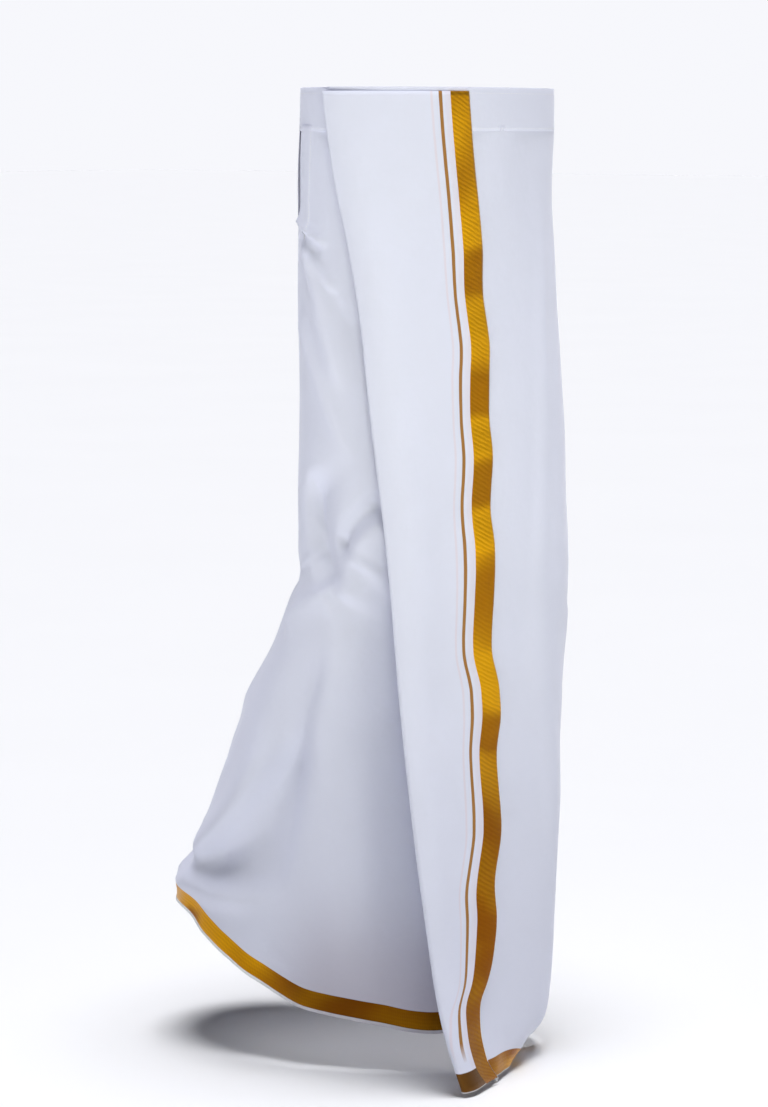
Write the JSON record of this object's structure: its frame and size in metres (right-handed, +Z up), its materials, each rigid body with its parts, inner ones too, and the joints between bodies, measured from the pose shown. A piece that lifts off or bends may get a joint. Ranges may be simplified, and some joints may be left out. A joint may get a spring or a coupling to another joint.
{
  "type": "wrapped dhoti with side pocket",
  "caption": "Full-length cotton wrap skirt worn with a folded front lap, gold woven borders along the hem and the turned-back end, and a side pocket.",
  "frame": {"origin": "middle of the waist, level with the top of the waistband, where the wearer's waist holds it", "axes": "+Z up, the wearer faces -Y, +X to the wearer's left"},
  "size_m": [0.3433, 0.4504, 1.0411],
  "materials": {
    "white_cotton": "plain woven white cotton with a gold zari band along the hem",
    "zari_end_cotton": "plain woven white cotton ending in a gold zari band",
    "pocket_cotton": "plain white pocketing"
  },
  "bodies": {
    "root": {"waistband": "white_cotton", "inner_lap": "white_cotton", "right_side": "white_cotton", "back": "white_cotton", "left_side": "white_cotton", "outer_lap": "white_cotton", "turned_end": "zari_end_cotton", "pocket_bag": "pocket_cotton"}
  },
  "joints": []
}
